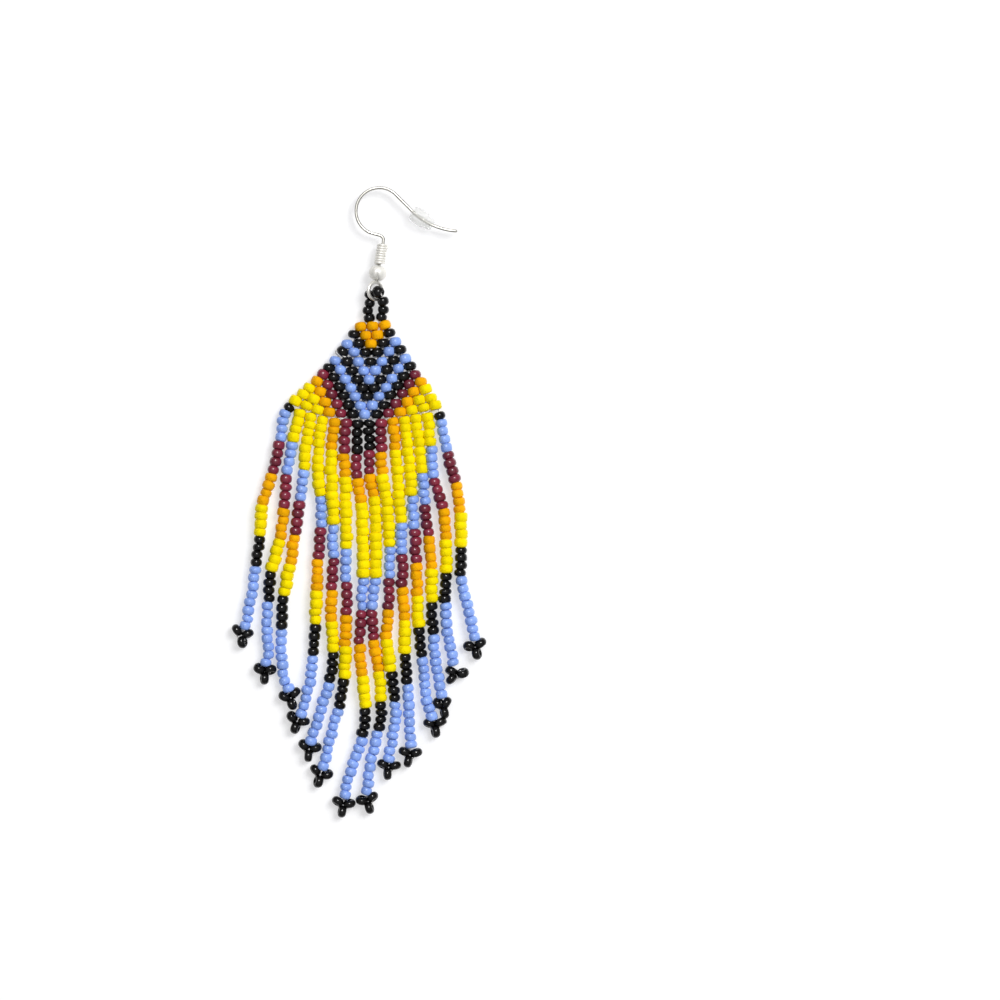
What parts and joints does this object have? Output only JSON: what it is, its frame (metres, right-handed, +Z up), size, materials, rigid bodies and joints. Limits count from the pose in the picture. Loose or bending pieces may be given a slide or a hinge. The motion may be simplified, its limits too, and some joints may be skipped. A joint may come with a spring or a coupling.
{
  "type": "beaded fringe earring",
  "caption": "Long drop earring that lies flat: a hook with a stopper, a stitched bead triangle and a fringe of bead strings with three-bead tips.",
  "frame": {"origin": "on the table under the middle of the earring's box", "axes": "+Z up from the table, +Y from the fringe to the hook, +X to the right of one who looks down at it"},
  "size_m": [0.045, 0.1124, 0.0034],
  "materials": {
    "silver_plate": "polished silver plate",
    "clear_plastic": "clear, slightly milky",
    "beads_black": "opaque glossy glass",
    "beads_orange": "opaque glass in rows of orange, black, blue, maroon and yellow",
    "beads_yellow": "opaque glass in runs of yellow, blue, maroon, orange and black",
    "beads_blue": "opaque glass in runs of blue, maroon, orange, yellow and black",
    "white_thread": "twisted white thread"
  },
  "bodies": {
    "earring": {"ear_wire": "silver_plate", "coil_sleeve": "silver_plate", "ball_bead": "silver_plate", "loop_beads": "beads_black", "loop_thread": "white_thread", "beaded_panel": "beads_orange", "tip_threads": "white_thread", "string_01": "beads_blue", "string_02": "beads_yellow", "string_03": "beads_yellow", "string_04": "beads_yellow", "string_05": "beads_yellow", "string_06": "beads_yellow", "string_07": "beads_yellow", "string_08": "beads_yellow", "string_09": "beads_yellow", "string_10": "beads_yellow", "string_11": "beads_yellow", "string_12": "beads_yellow", "string_13": "beads_yellow", "string_14": "beads_blue"},
    "stopper": {"stopper": "clear_plastic"}
  },
  "joints": [
    {"name": "stopper_slide", "type": "hinge", "parent": "earring", "child": "stopper", "pos_m": [0.01834, 0.0603, 0.0016], "axis": [0, 0, 1], "range_deg": [0, 41]}
  ]
}
